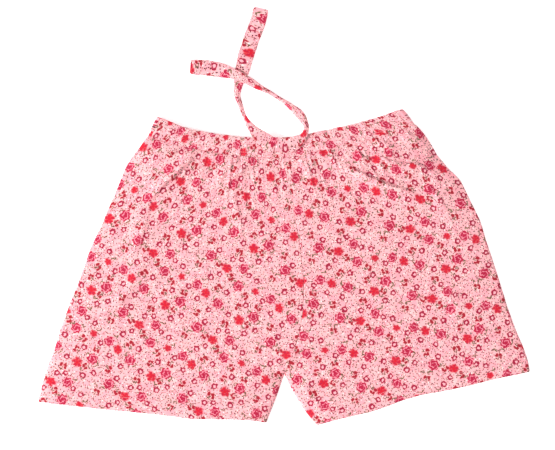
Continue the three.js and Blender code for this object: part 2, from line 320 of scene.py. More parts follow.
# Creases that the laid cloth keeps: points along each, height, width, and the steep side.
CREASES = [
    ([(-109, 163), (-118, 152), (-128, 143), (-142, 129), (-158, 115), (-172, 100), (-186, 84)], 4.4, 10, -1),
    ([(-126, 160), (-146, 154), (-164, 147), (-180, 140)], 2.6, 8, -1),
    ([(-88, 150), (-104, 156), (-116, 156)], 1.4, 6, 1),
    ([(-57, 153), (-70, 139), (-80, 126), (-90, 108)], 2.6, 8, -1),
    ([(-36, 153), (-51, 136), (-63, 124), (-78, 111)], 2.4, 7, -1),
    ([(-70, 103), (-61, 80), (-57, 60), (-55, 36)], 1.4, 9, -1),
    ([(-180, 88), (-184, 62), (-192, 36), (-202, 8)], 2.0, 16, -1),
    ([(-287, -72), (-256, -64), (-231, -50), (-212, -27), (-196, 2), (-184, 34)], 1.7, 13, -1),
    ([(74, 141), (92, 134), (112, 124), (135, 114), (160, 107), (182, 98)], 4.6, 10, -1),
    ([(124, 152), (142, 144), (160, 140), (178, 141), (196, 132)], 3.8, 9, -1),
    ([(134, 199), (152, 190), (170, 178), (187, 170)], 3.0, 7, -1),
    ([(116, 182), (128, 174), (140, 167), (150, 156)], 2.4, 7, -1),
    ([(98, 160), (106, 150), (112, 142)], 2.2, 6, -1),
    ([(124, 146), (132, 136), (140, 128)], 1.9, 6, -1),
    ([(190, 118), (212, 92), (228, 60)], 1.6, 12, -1),
    ([(60, 168), (68, 152), (74, 140)], 1.4, 6, -1),
    ([(28, 152), (34, 134), (40, 118)], 1.2, 6, -1),
    ([(6, -128), (14, -118), (27, -108), (44, -104)], 1.3, 8, 1),
    ([(20, -152), (33, -160), (43, -176), (50, -196)], 1.2, 8, -1),
    ([(58, -168), (66, -178), (72, -196)], 1.0, 6, -1),
    ([(-40, -150), (-62, -140), (-96, -138)], 0.9, 12, -1),
    ([(200, -20), (232, -52), (268, -70)], 1.0, 14, 1),
]


def crease_height(x, y):
    """Height that the creases add at a place in plan."""
    total = np.zeros_like(x)
    for points, high, wide, steep in CREASES:
        p = np.array(points, float)
        run = np.concatenate([[0], np.cumsum(np.hypot(*np.diff(p, axis=0).T))])
        fine = np.linspace(0, run[-1], 60)
        line = np.stack([np.interp(fine, run, p[:, k]) for k in (0, 1)], -1)
        best = np.full(x.shape, np.inf)
        share, side = np.zeros_like(x), np.ones_like(x)
        for i in range(len(line) - 1):
            a, d = line[i], line[i + 1] - line[i]
            t = np.clip(((x - a[0]) * d[0] + (y - a[1]) * d[1]) / (d @ d), 0, 1)
            dx, dy = x - a[0] - t * d[0], y - a[1] - t * d[1]
            far = np.hypot(dx, dy)
            near = far < best
            best = np.where(near, far, best)
            share = np.where(near, (i + t) / (len(line) - 1), share)
            side = np.where(near, np.sign(d[0] * dy - d[1] * dx), side)
        taper = np.sin(math.pi * np.clip(share, 0.02, 0.98)) ** 0.8
        soft = side * steep > 0
        steep_side = 0.55 * np.exp(-((best / 1.6) ** 2)) + 0.45 * np.exp(-((best / (wide * 0.9)) ** 2))
        ridge = np.where(soft, np.exp(-((best / wide) ** 2)), steep_side)
        groove = np.where(soft, 0, 0.30 * np.exp(-(((best - 2.4) / 1.3) ** 2)))
        total += 1.7 * high * taper * (ridge - groove)
    return total


# ---------- Mesh helpers ----------


def quads(rows, columns, flip=False):
    i, j = np.meshgrid(np.arange(rows - 1), np.arange(columns - 1), indexing="ij")
    a = i * columns + j
    faces = np.stack([a, a + columns, a + columns + 1, a + 1], -1).reshape(-1, 4)
    return faces[:, ::-1] if flip else faces


def ring_quads(count, rows):
    """Faces of a closed ring of count stations with rows points each, and each face's station and row."""
    i, j = np.meshgrid(np.arange(count), np.arange(rows - 1), indexing="ij")
    after = (i + 1) % count
    faces = np.stack([i * rows + j, after * rows + j, after * rows + j + 1, i * rows + j + 1], -1)
    return faces.reshape(-1, 4), i.ravel(), j.ravel()


def mesh_object(name, points, faces, uv=None):
    """A new mesh object from points in millimetres. uv has one pair for each face corner."""
    mesh = bpy.data.meshes.new(name)
    faces = faces.tolist() if isinstance(faces, np.ndarray) else faces
    mesh.from_pydata((np.asarray(points) * MM).tolist(), [], faces)
    if uv is not None:
        layer = mesh.uv_layers.new(name="cloth")
        layer.data.foreach_set("uv", np.asarray(uv, np.float32).ravel())
    mesh.update()
    made = bpy.data.objects.new(name, mesh)
    bpy.context.scene.collection.objects.link(made)
    return made


def only(made):
    bpy.ops.object.select_all(action="DESELECT")
    bpy.context.view_layer.objects.active = made
    made.select_set(True)


def apply_all(made):
    only(made)
    for modifier in list(made.modifiers):
        bpy.ops.object.modifier_apply(modifier=modifier.name)


def outward(made):
    """Turns every face outwards."""
    only(made)
    bpy.ops.object.mode_set(mode="EDIT")
    bpy.ops.mesh.select_all(action="SELECT")
    bpy.ops.mesh.normals_make_consistent(inside=False)
    bpy.ops.object.mode_set(mode="OBJECT")


def add_smoothing(made):
    smoother = made.modifiers.new("smooth", "SUBSURF")
    smoother.levels = smoother.render_levels = 1


def finish_cloth(made, thick, offset=-1, smoothed=True):
    """Smooths a sheet, gives it its thickness and shades it smooth."""
    if smoothed:
        add_smoothing(made)
    solid = made.modifiers.new("thickness", "SOLIDIFY")
    solid.thickness = thick * MM
    solid.offset = offset
    solid.use_even_offset = False
    apply_all(made)
    made.data.shade_smooth()


def dress(made, finish, node):
    """Gives a piece its material, in place of its CAD node, and lets it ride on the shorts."""
    made.data.materials.append(material(finish))
    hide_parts(node)
    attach(made, "shorts")


# ---------- Cloth coordinates for the print ----------

GRAIN = {"right": (math.radians(-11.5), (13, 21)), "left": (math.radians(17.3), (-37, 6))}
BACK_SHIFT = (41, 33)


def widened(leg, place, v, sizes):
    """Where a point of the laid leg was before the elastic gathered it."""
    middle = leg.inner_point(v) - leg.origin
    share = sizes.fullness * smooth(v, 0.56, 1) ** 1.3
    wide = place.copy()
    wide[..., 0] = middle[..., 0] + (place[..., 0] - middle[..., 0]) * (1 + share)
    return wide


def print_place(leg, flat, back=False):
    """Cloth coordinates, in decimetres along and across the grain."""
    turn, shift = GRAIN[leg.name]
    if back:
        turn, shift = -turn, (shift[0] + BACK_SHIFT[0], shift[1] + BACK_SHIFT[1])
    c, s = math.cos(-turn), math.sin(-turn)
    x, y = flat[..., 0], flat[..., 1]
    return np.stack([(x * c - y * s + shift[0]), (x * s + y * c + shift[1])], -1) / 100


# ---------- Panels: grids of the legs, settled by simulation ----------

COLUMNS = 96
ROWS_BELOW = 26
ROWS_ABOVE = 98


def leg_grid(leg):
    u = np.linspace(0, 1, COLUMNS + 1)
    below = leg.crotch * np.linspace(0, 1, ROWS_BELOW + 1)
    above = leg.crotch + (1 - leg.crotch) * np.linspace(0, 1, ROWS_ABOVE + 1)[1:]
    return np.meshgrid(u, np.concatenate([below, above]), indexing="ij")


def settle(legs, sizes):
    """Lays the front over the back: gathers it at the waist and lets it settle as cloth."""
    grids = {n: leg_grid(leg) for n, leg in legs.items()}
    laid, cut, floor, hold, index, faces = [], [], [], [], {}, []
    count = 0
    for name, leg in legs.items():
        u, v = grids[name]
        place = leg.point(u, v)
        smooth_top = front_dome(leg, u, v, sizes)
        near_band = smooth(v, 0.55, 1) ** 1.5
        folds = gather(leg, u, True) * near_band * 2.2
        lift = smooth(leg.seam_reach(u, v), 0, 12)
        slack = crumple(place[..., 0], place[..., 1], 5, [(46, 0.35), (90, 0.5)]) * lift
        height = smooth_top + folds * lerp(1, 0.55, smooth(v, 0.97, 1)) * lift + slack + 0.5 * lift
        height[:, -1] = smooth_top[:, -1] + gather(leg, u[:, -1], True) * 0.7
        wide = widened(leg, place, v, sizes)
        pin = np.zeros_like(u)
        pin[:, -1] = 1
        pin[:, -2] = 0.4
        pin[0, :] = 1
        pin[-1, v[-1] <= leg.crotch + 1e-6] = 1
        pin[:, 0] = np.maximum(pin[:, 0], 0.5)
        ids = np.arange(u.size).reshape(u.shape) + count
        if name == "left":
            joined = v[-1] >= leg.crotch - 1e-6
            ids[-1, joined] = index["right"][-1, joined]
            free = ids >= count
            ids[free] = count + np.arange(free.sum())
        else:
            free = np.ones_like(u, bool)
        index[name] = ids
        count += int(free.sum())
        laid.append(np.dstack([place, height])[free])
        cut.append(np.dstack([wide, 0 * height])[free])
        floor.append((np.dstack([place, smooth_top - 1.0]), name))
        hold.append(pin[free])
        a, b, c, d = ids[:-1, :-1], ids[1:, :-1], ids[1:, 1:], ids[:-1, 1:]
        found = np.stack([a, b, c, d], -1).reshape(-1, 4)
        faces.append(found[:, ::-1] if name == "left" else found)
    laid, cut, hold = np.concatenate(laid), np.concatenate(cut), np.concatenate(hold)
    cloth = mesh_object("settling_cloth", laid, np.concatenate(faces))
    supports = []
    for surface, name in floor:
        rows, columns = surface.shape[:2]
        under = mesh_object(
            "support_" + name, surface.reshape(-1, 3), quads(rows, columns, name == "left")
        )
        under.modifiers.new("support", "COLLISION")
        under.collision.thickness_outer = 0.0006
        under.collision.cloth_friction = 12
        supports.append(under)
    laid = run_cloth(cloth, cut, hold, sizes) / MM
    for thing in [cloth, *supports]:
        bpy.data.objects.remove(thing, do_unlink=True)
    return {name: laid[index[name]] for name in legs}, grids


def run_cloth(cloth, cut, hold, sizes):
    cloth.shape_key_add(name="laid")
    key = cloth.shape_key_add(name="cut")
    key.data.foreach_set("co", (cut * MM).ravel())
    key.value = 0
    held = cloth.vertex_groups.new(name="held")
    for weight in np.unique(hold):
        if weight > 0:
            held.add(np.flatnonzero(hold == weight).tolist(), float(weight), "REPLACE")
    modifier = cloth.modifiers.new("settle", "CLOTH")
    settings = modifier.settings
    settings.quality = 4
    settings.mass = 0.12
    settings.air_damping = 2.0
    settings.tension_stiffness = settings.compression_stiffness = 12
    settings.shear_stiffness = 6
    settings.bending_stiffness = 0.35
    settings.tension_damping = settings.compression_damping = settings.shear_damping = 8
    settings.bending_damping = 0.8
    settings.rest_shape_key = key
    settings.vertex_group_mass = held.name
    settings.pin_stiffness = 1.0
    modifier.collision_settings.distance_min = 0.0006
    modifier.collision_settings.collision_quality = 2
    modifier.collision_settings.use_self_collision = False
    modifier.point_cache.frame_start = 1
    modifier.point_cache.frame_end = sizes.settle_frames
    scene = bpy.context.scene
    for step in range(1, sizes.settle_frames + 1):
        scene.frame_set(step)
    shown = cloth.evaluated_get(bpy.context.evaluated_depsgraph_get())
    found = np.zeros(len(cloth.data.vertices) * 3, np.float32)
    shown.data.vertices.foreach_get("co", found)
    scene.frame_set(1)
    return found.reshape(-1, 3).astype(float)


def corner_uv(uv, faces):
    return uv.reshape(-1, 2)[np.asarray(faces).ravel()]


class Shapes:
    """The settled cloth, shared by the pieces."""

    legs = None
    front = None
    back = None
    grids = None


def shape_front(leg, settled, u, v):
    """Adds the creases and the seam lines to the settled cloth of one front panel."""
    sizes = bpy.context.scene.shorts_sizes
    surface = settled.copy()
    x, y = surface[..., 0], surface[..., 1]
    lift = smooth(leg.seam_reach(u, v), 0, 14)
    bump = crease_height(x, y) + crumple(x, y, 9, [(17, 0.14), (30, 0.28), (52, 0.3)])
    surface[..., 2] += bump * lift * (1 - 0.9 * smooth(v, 0.97, 1))
    below_band = (1 - v) * leg.long
    near_band = np.exp(-below_band / 8)
    carried = front_dome(leg, u, v, sizes) + gather(leg, u, True) * 0.7
    surface[..., 2] = lerp(surface[..., 2], carried, near_band)
    reach = 16 + 12 * np.sin(leg.side * (1 - u) * leg.band.length / 9.0 + 1.2)
    pleats = gather(leg, u, True) * 1.1 * np.exp(-below_band / reach) * smooth(below_band, 0, 5)
    surface[..., 2] += pleats * lift
    to_rise = (1 - u) * leg.width(v)
    above = smooth(v, leg.crotch, leg.crotch + 0.04)
    surface[..., 2] -= 0.12 * np.exp(-((to_rise / 1.2) ** 2)) * above
    depth = v * leg.long
    pucker = ripples(u * leg.hem.length, 31 + leg.side, [(9, 0.10), (15, 0.16)])
    surface[..., 2] += pucker * np.exp(-(((depth - sizes.hem_depth) / 6) ** 2)) * lift
    surface[..., 2] -= 1.0 * np.exp(-((depth / 1.6) ** 2)) * smooth(leg.seam_reach(u, v), 0, 5)
    return surface


def shape_back(leg, u, v):
    place = leg.point(u, v)
    low = back_dome(leg, u, v)
    lift = smooth(leg.seam_reach(u, v), 2, 18) * (1 - smooth(v, 0.93, 0.99))
    folds = crumple(place[..., 0], place[..., 1], 17, [(40, 0.3), (70, 0.4)])
    puckers = gather(leg, u, False) * smooth(v, 0.7, 1) ** 1.6 * 0.8
    height = low + np.maximum(folds + 0.25, 0) * lift + np.maximum(puckers, -low + 0.05)
    return np.dstack([place, np.maximum(height, 0.04)])


def build_panel(leg, surface, u, v, front, sizes):
    node = ("front" if front else "back") + "_panel_" + leg.name
    rows, columns = u.shape
    faces = quads(rows, columns, flip=(leg.side == 1) == front)
    flat = widened(leg, leg.point(u, v), v, sizes)
    uv = print_place(leg, flat, back=not front)
    panel = mesh_object(node + "_cloth", surface.reshape(-1, 3), faces, corner_uv(uv, faces))
    finish_cloth(panel, sizes.cloth)
    dress(panel, "floral_cotton", node)
    width = float(np.max(leg.width(np.linspace(0, 1, 20)))) * (1 + sizes.fullness)


# ---------- Materials ----------


class Nodes:
    """Small helper that adds and links shader nodes."""

    def __init__(self, tree):
        self.tree = tree
        self.column = 0

    def add(self, kind, inputs=(), **values):
        node = self.tree.nodes.new(kind)
        self.column += 1
        node.location = (self.column % 24 * 180, -(self.column // 24) * 220)
        for key, value in values.items():
            setattr(node, key, value)
        pairs = inputs.items() if isinstance(inputs, dict) else enumerate(inputs)
        for key, value in pairs:
            self.set(node, key, value)
        return node

    def set(self, node, key, value):
        if isinstance(value, bpy.types.NodeSocket):
            self.tree.links.new(value, node.inputs[key])
        elif value is not None:
            node.inputs[key].default_value = value

    def math(self, operation, *values, clamp=False):
        return self.add("ShaderNodeMath", values, operation=operation, use_clamp=clamp).outputs[0]

    def vector(self, operation, *values, out=0):
        return self.add("ShaderNodeVectorMath", values, operation=operation).outputs[out]

    def fade(self, value, low, high):
        """1 at low, falling to 0 at high, or rising if high is below low."""
        node = self.add(
            "ShaderNodeMapRange",
            {"Value": value, "From Min": low, "From Max": high, "To Min": 1.0, "To Max": 0.0},
            interpolation_type="SMOOTHSTEP",
        )
        if high < low:
            node.inputs["From Min"].default_value = high
            node.inputs["From Max"].default_value = low
            node.inputs["To Min"].default_value = 0.0
            node.inputs["To Max"].default_value = 1.0
        return node.outputs[0]

    def wave(self, place, scale, distortion, direction):
        return self.add(
            "ShaderNodeTexWave", {"Vector": place, "Scale": scale, "Distortion": distortion},
            bands_direction=direction,
        ).outputs[1]

    def noise(self, place, scale, detail, roughness=0.5, out=0):
        return self.add(
            "ShaderNodeTexNoise",
            {"Vector": place, "Scale": scale, "Detail": detail, "Roughness": roughness},
        ).outputs[out]

    def relief(self, height, strength, distance):
        return self.add(
            "ShaderNodeBump", {"Height": height, "Strength": strength, "Distance": distance}
        ).outputs[0]

    def mix(self, share, a, b):
        node = self.add("ShaderNodeMix", data_type="RGBA")
        for socket, value in ((0, share), (6, a), (7, b)):
            if isinstance(value, bpy.types.NodeSocket):
                self.tree.links.new(value, node.inputs[socket])
            elif socket == 0:
                node.inputs[0].default_value = value
            else:
                node.inputs[socket].default_value = (*value, 1)
        return node.outputs[2]


def new_material(name, finish):
    """A material whose shader takes the inputs that finish returns."""
    made = bpy.data.materials.new(name)
    made.use_nodes = True
    nodes = Nodes(made.node_tree)
    shader = made.node_tree.nodes["Principled BSDF"]
    for key, value in finish(nodes, bpy.context.scene.shorts_colours).items():
        nodes.set(shader, key, value)
    return made


CLOTH_SCALE = 112.0  # of the print's own unit to a decimetre of cloth
REPEAT = (113.0, 110.0)  # one repeat of the print, across and along the grain
SWELL = 1.17  # size of the motifs against their listed size


def nearest_group():
    """A node group that keeps whichever motif is nearer, as a place on that motif."""
    name = "Nearest Motif"
    if name in bpy.data.node_groups:
        return bpy.data.node_groups[name]
    group = bpy.data.node_groups.new(name, "ShaderNodeTree")
    for label, kind in (
        ("Place", "Vector"), ("Centre", "Vector"), ("Turn", "Float"), ("Fit", "Vector"), ("Best", "Vector")
    ):
        group.interface.new_socket(label, in_out="INPUT", socket_type="NodeSocket" + kind)
    group.interface.new_socket("Best", in_out="OUTPUT", socket_type="NodeSocketVector")
    n = Nodes(group)
    given = n.add("NodeGroupInput").outputs
    away = n.vector("SUBTRACT", given["Place"], given["Centre"])
    half = (REPEAT[0] / 2, REPEAT[1] / 2, 1.0)
    local = n.vector("WRAP", away, half, tuple(-h for h in half))
    turned = n.add(
        "ShaderNodeVectorRotate", {"Vector": local, "Angle": given["Turn"]}, rotation_type="Z_AXIS"
    ).outputs[0]
    fitted = n.vector("MULTIPLY", turned, given["Fit"])
    far, best = (n.vector("LENGTH", v, out=1) for v in (fitted, given["Best"]))
    keep = n.add("ShaderNodeMix", data_type="VECTOR")
    for socket, value in ((0, n.math("LESS_THAN", far, best)), (4, given["Best"]), (5, fitted)):
        group.links.new(value, keep.inputs[socket])
    sink = n.add("NodeGroupOutput")
    group.links.new(keep.outputs[1], sink.inputs["Best"])
    return group


def nearest(n, place, motifs):
    """Place on the nearest motif, with the motif's outline near a distance of 1."""
    best = None
    for across, along, turn, size in motifs:
        node = n.add("ShaderNodeGroup", node_tree=nearest_group())
        n.set(node, "Place", place)
        node.inputs["Centre"].default_value = (across, along, 0)
        node.inputs["Turn"].default_value = math.radians(turn)
        node.inputs["Fit"].default_value = (1 / (size * SWELL), 1 / (size * SWELL), 0)
        node.inputs["Best"].default_value = (9, 9, 0)
        n.set(node, "Best", best)
        best = node.outputs["Best"]
    return best


def layer(n, place, draw, motifs, colours):
    """Adds one kind of motif over the cloth. colours holds what is under it and its two colours."""
    under, main, second = colours
    local = nearest(n, place, motifs)
    split = n.add("ShaderNodeSeparateXYZ", (local,)).outputs
    angle = n.math("ARCTAN2", split[1], split[0])
    shape, detail = draw(n, local, n.vector("LENGTH", local, out=1), angle)
    return n.mix(shape, under, n.mix(detail, main, second))


def lobed(n, radius, angle, lobes, depth, phase=0.0):
    """Radius divided by a lobed outline, so that the outline is at 1."""
    wave = n.math("COSINE", n.math("MULTIPLY_ADD", angle, float(lobes), phase))
    return n.math("DIVIDE", radius, n.math("MULTIPLY_ADD", wave, depth, 1 - depth))


def draw_rosette(n, place, radius, angle):
    shape = n.fade(lobed(n, radius, angle, 7, 0.10), 0.90, 1.04)
    swirl = n.math("MULTIPLY_ADD", radius, 13.0, n.math("MULTIPLY", angle, 2.0))
    bent = n.math("ADD", swirl, n.math("SINE", n.math("MULTIPLY", angle, 5.0)))
    strokes = n.fade(n.math("SINE", bent), 0.85, 0.10)
    inside = n.math("MULTIPLY", n.fade(radius, 0.66, 0.86), n.fade(radius, 0.34, 0.22))
    light = n.math("MULTIPLY", strokes, inside)
    return shape, light


def draw_ring(n, place, radius, angle):
    shape = n.fade(lobed(n, radius, angle, 5, 0.09), 0.86, 1.08)
    offset = n.vector("DISTANCE", place, (0.10, 0.06, 0.0), out=1)
    light = n.fade(offset, 0.30, 0.50)
    return shape, light


def draw_blossom(n, place, radius, angle):
    parts = [
        ((-0.45, 0.30), (0.46, 0.44)), ((0.20, 0.50), (0.46, 0.38)), ((0.62, 0.0), (0.40, 0.44)),
        ((0.14, -0.50), (0.50, 0.38)), ((-0.52, -0.30), (0.40, 0.36)), ((0.0, 0.0), (0.50, 0.46)),
    ]
    shape = oval(n, place, *parts[0], 0.5)
    for part in parts[1:]:
        shape = n.math("MAXIMUM", shape, oval(n, place, *part, 0.5))
    veins = n.fade(n.math("COSINE", n.math("MULTIPLY_ADD", angle, 5.0, 0.6)), 0.90, 0.30)
    inside = n.math("MULTIPLY", n.fade(radius, 0.60, 0.95), n.fade(radius, 0.34, 0.18))
    edge = n.fade(shape, 0.50, 0.92)
    return shape, n.math("MAXIMUM", edge, n.math("MULTIPLY", veins, inside))


def oval(n, place, centre, radii, soft=0.25):
    offset = n.vector("DIVIDE", n.vector("SUBTRACT", place, (*centre, 0.0)), (*radii, 1.0))
    return n.fade(n.vector("LENGTH", offset, out=1), 1 - soft, 1 + soft)


def draw_bud(n, place, radius, angle):
    petals = oval(n, place, (-0.46, 0.16), (0.34, 0.44))
    for centre, radii in (((0.30, 0.40), (0.40, 0.30)), ((0.56, -0.10), (0.26, 0.38))):
        petals = n.math("MAXIMUM", petals, oval(n, place, centre, radii))
    stem = oval(n, place, (0.02, -0.45), (0.10, 0.50), 0.3)
    green = n.math("MAXIMUM", stem, oval(n, place, (-0.32, -0.60), (0.28, 0.13), 0.3))
    return n.math("MAXIMUM", petals, green), n.math("SUBTRACT", green, petals, clamp=True)


def draw_leaf(n, place, radius, angle):
    first = oval(n, place, (-0.30, 0.0), (0.70, 0.21), 0.3)
    second = oval(n, place, (0.45, 0.45), (0.21, 0.50), 0.3)
    return n.math("MAXIMUM", first, second), oval(n, place, (0.1, -0.1), (0.9, 0.08), 0.4)


# Motifs of one repeat: across, along, turn in degrees, size.
ROSETTES = [
    (17, 19, 20, 7.8), (69, 9, 140, 7.2), (41, 60, 250, 7.6), (98, 51, 75, 7.9), (66, 92, 310, 7.5),
    (5, 82, 190, 7.1),
]
RINGS = [
    (27, 29, 0, 4.5), (50, 20, 60, 4.3), (89, 24, 130, 4.6), (79, 1, 200, 4.1), (29, 48, 40, 4.2),
    (60, 47, 100, 4.4), (83, 66, 170, 4.5), (106, 77, 20, 4.3), (51, 79, 210, 4.5), (23, 97, 80, 4.6),
    (92, 105, 150, 4.3), (9, 61, 10, 4.2), (104, 31, 90, 4.1), (35, 104, 60, 4.0), (63, 22, 15, 3.9),
]
BLOSSOMS = [(44, 5, 10, 6.6), (77, 42, 40, 6.9), (20, 72, 65, 6.4), (93, 89, 25, 4.9)]
BUDS = [
    (57, 32, 20, 6.4), (12, 41, 120, 6.2), (37, 83, -30, 6.6), (79, 79, 60, 6.2), (102, 66, 200, 5.8),
    (32, 9, 160, 5.9), (72, 61, -60, 5.6), (1, 3, 30, 5.7), (52, 103, 90, 6.0), (91, 38, 240, 5.4),
]
LEAVES = [
    (8, 12, 200, 4.2), (79, 14, 20, 4.0), (33, 68, 120, 4.2), (107, 43, -40, 4.4), (58, 99, 200, 4.0),
    (13, 91, 30, 4.0), (50, 53, 330, 3.8), (28, 80, 100, 3.6), (84, 33, 70, 4.0), (100, 95, 15, 3.8),
    (112, 14, 240, 3.8), (90, 58, 180, 3.9), (26, 15, -20, 3.8), (75, 97, 60, 3.6),
]


# Specks: seed, scale, stretch, size, colour, share.
SPECKS = [
    (113.0, 0.11, (1.0, 1.0, 1.0), 0.10, "fleck", 0.85),
    (0.0, 0.180, (1.0, 1.0, 1.0), 0.150, "speck", 1.0),
    (37.0, 0.108, (1.0, 2.2, 1.0), 0.145, "leaf", 1.0),
    (71.0, 0.100, (2.2, 1.0, 1.0), 0.140, "speck", 1.0),
]


def floral_cotton(n, c):
    """Woven cotton with the small floral print, its specks, weave and soft sheen."""
    uv = n.add("ShaderNodeUVMap", uv_map="cloth").outputs[0]
    place = n.vector("MULTIPLY", uv, (CLOTH_SCALE, CLOTH_SCALE, 0.0))
    cream = n.fade(n.noise(place, 0.055, 3.0, 0.6), 0.60, 0.42)
    spots = n.math("MULTIPLY", n.fade(n.noise(place, 0.10, 2.0, 0.55), 0.66, 0.50), 0.8)
    pale = n.math("MAXIMUM", n.math("MULTIPLY", cream, 0.5), spots)
    under = n.mix(n.math("MULTIPLY", pale, 0.75), tuple(c.ground), tuple(c.cream))
    for seed, scale, stretch, size, tint, share in SPECKS:
        moved = n.vector("ADD", n.vector("MULTIPLY", place, stretch), (seed, seed * 0.7, 0.0))
        cell = n.add("ShaderNodeTexVoronoi", {"Vector": moved, "Scale": scale}, voronoi_dimensions="2D")
        spot = n.math("MULTIPLY", n.fade(cell.outputs["Distance"], size * 0.6, size * 1.2), share)
        under = n.mix(spot, under, tuple(getattr(c, tint)))
    drift = n.noise(place, 0.33, 2.0, out="Color")
    pushed = n.vector("MULTIPLY", n.vector("SUBTRACT", drift, (0.5, 0.5, 0.5)), (4.6, 4.6, 0.0))
    loose = n.vector("ADD", place, pushed)
    frayed = n.vector("ADD", loose, n.vector("MULTIPLY", pushed, (0.9, -0.9, 0.0)))
    for draw, at, motifs, main, second in (
        (draw_leaf, loose, LEAVES, c.leaf, c.leaf_tip),
        (draw_bud, loose, BUDS, c.bud, c.leaf),
        (draw_ring, loose, RINGS, c.ring, c.eye),
        (draw_blossom, frayed, BLOSSOMS, c.blossom, c.rose),
        (draw_rosette, loose, ROSETTES, c.rose, c.petal),
    ):
        under = layer(n, at, draw, motifs, (under, tuple(main), tuple(second)))
    weave = n.math("ADD", n.wave(place, 0.42, 1.2, "X"), n.wave(place, 0.42, 1.2, "Y"))
    fibre = n.math("MULTIPLY", n.noise(place, 0.9, 4.0, 0.7), 1.2)
    return {
        "Base Color": under,
        "Roughness": 0.86,
        "Sheen Weight": 0.18,
        "Sheen Roughness": 0.5,
        "Specular IOR Level": 0.25,
        "Normal": n.relief(n.math("ADD", weave, fibre), 0.22, 0.00012),
    }


def spun_thread(n, c):
    """Twisted sewing thread."""
    place = n.add("ShaderNodeTexCoord").outputs["Object"]
    twist = n.wave(place, 900.0, 2.0, "DIAGONAL")
    return {
        "Base Color": n.mix(twist, tuple(c.thread), tuple(c.thread_light)),
        "Roughness": 0.6,
        "Sheen Weight": 0.2,
        "Normal": n.relief(twist, 0.4, 0.0001),
    }


def ribbed_elastic(n, c):
    """Ribbed white elastic, with painted shade in its furrows and painted light on its ribs."""
    place = n.add("ShaderNodeTexCoord").outputs["Object"]
    ribs = n.wave(place, 260.0, 0.6, "Y")
    knit = n.math("MULTIPLY", n.wave(place, 420.0, 1.5, "X"), 0.5)
    return {
        # Painted light and shade: the ribs take the lit colour and the furrows the shaded one.
        "Base Color": n.mix(ribs, tuple(c.elastic), tuple(c.elastic_lit_rib)),
        "Roughness": 0.75,
        "Normal": n.relief(n.math("ADD", ribs, knit), 0.5, 0.0003),
    }


FINISHES = {"floral_cotton": floral_cotton, "spun_thread": spun_thread, "ribbed_elastic": ribbed_elastic}


def material(name):
    return bpy.data.materials.get(name) or new_material(name, FINISHES[name])


# ---------- Waistband ----------

RUN_STATIONS = 210  # along each face of the band
TURN_STATIONS = 8  # round each side
STATIONS = np.arange(2 * (RUN_STATIONS + TURN_STATIONS))
STATION_STEP = 1.6  # millimetres between stations
STITCH_HEIGHT = 5.2  # of the stitch row over the band's lower edge
LEAST_WALL = 5.12  # least distance of the outer wall from the middle line, clear of the elastic
FINE_PUCKERS = [(5.2, 0.16), (3.9, 0.10)]
OUTER_ROWS = 13  # last row of the casing's profile on the outer wall

# The casing's profile from its outer lower edge over the fold to its inner lower edge:
# distance from the loop's middle line, and height above the band's lower edge.
CASING_PROFILE = [
    (4.45, -1.6), (4.9, -0.5), (5.08, 0.7), (5.2, 2.2), (5.2, 4.2), (5.12, 5.2), (5.25, 6.4), (5.5, 9),
    (5.65, 12.5), (5.65, 16), (5.55, 19.5), (5.3, 22.5), (4.95, 24.8), (4.55, 26.2), (4.05, 26.9),
    (3.55, 26.8), (3.1, 26.1), (2.85, 24.6), (2.75, 22), (2.75, 18), (2.75, 13), (2.75, 8),
    (2.8, 4.5), (2.95, 1.2),
]


def band_loop(legs, station, radius, height):
    """Place on the waistband's flattened loop, which starts at the front's right side."""
    right, left = legs["right"], legs["left"]
    total = right.waist.length + left.waist.length
    turn = OUTER_RADIUS / total
    half = RUN_STATIONS + TURN_STATIONS
    k = station % half
    first = station < half
    up = height / right.band_height

    def across(share):
        leg_share = np.where(share < 0.5, 2 * share, 2 * (1 - share))
        on_right = (share < 0.5)[..., None]
        low = np.where(on_right, right.point(leg_share, 1.0), left.point(leg_share, 1.0))
        high = np.where(on_right, right.top(leg_share), left.top(leg_share))
        return lerp(low, high, up[..., None])

    share = lerp(turn, 1 - turn, np.clip(k / RUN_STATIONS, 0, 1))
    run = across(np.where(first, share, 1 - share))
    run_z = OUTER_RADIUS + np.where(first, radius, -radius)
    angle = np.clip((k - RUN_STATIONS) / TURN_STATIONS, 0, 1) * math.pi
    centre = across(np.where(first, 1 - turn, turn))
    outer = across(np.where(first, 1.0, 0.0))
    side = outer - centre
    side = side / np.linalg.norm(side, axis=-1, keepdims=True)
    turned = centre + side * (radius * np.sin(angle))[..., None]
    turned_z = OUTER_RADIUS + np.where(first, 1, -1) * radius * np.cos(angle)
    on_run = k <= RUN_STATIONS
    plan = np.where(on_run[..., None], run, turned)
    return np.concatenate([plan, np.where(on_run, run_z, turned_z)[..., None]], -1)


def station_share(station):
    """Share of the way from the right side to the left, and whether it is on the front."""
    half = RUN_STATIONS + TURN_STATIONS
    k = np.minimum(station % half, RUN_STATIONS) / RUN_STATIONS
    first = station < half
    return np.where(first, k, 1 - k), first


def band_pucker(legs, station):
    """The gathers of the cloth at each station, the same as those of the panels' top edges."""
    share, first = station_share(station)
    values = np.zeros(len(station))
    for name, leg in legs.items():
        mine = share < 0.5 if name == "right" else share >= 0.5
        u = np.clip(2 * (share if name == "right" else 1 - share), 0, 1)
        for front in (True, False):
            pick = mine & (first == front)
            values[pick] = gather(leg, u[pick], front)
    return values


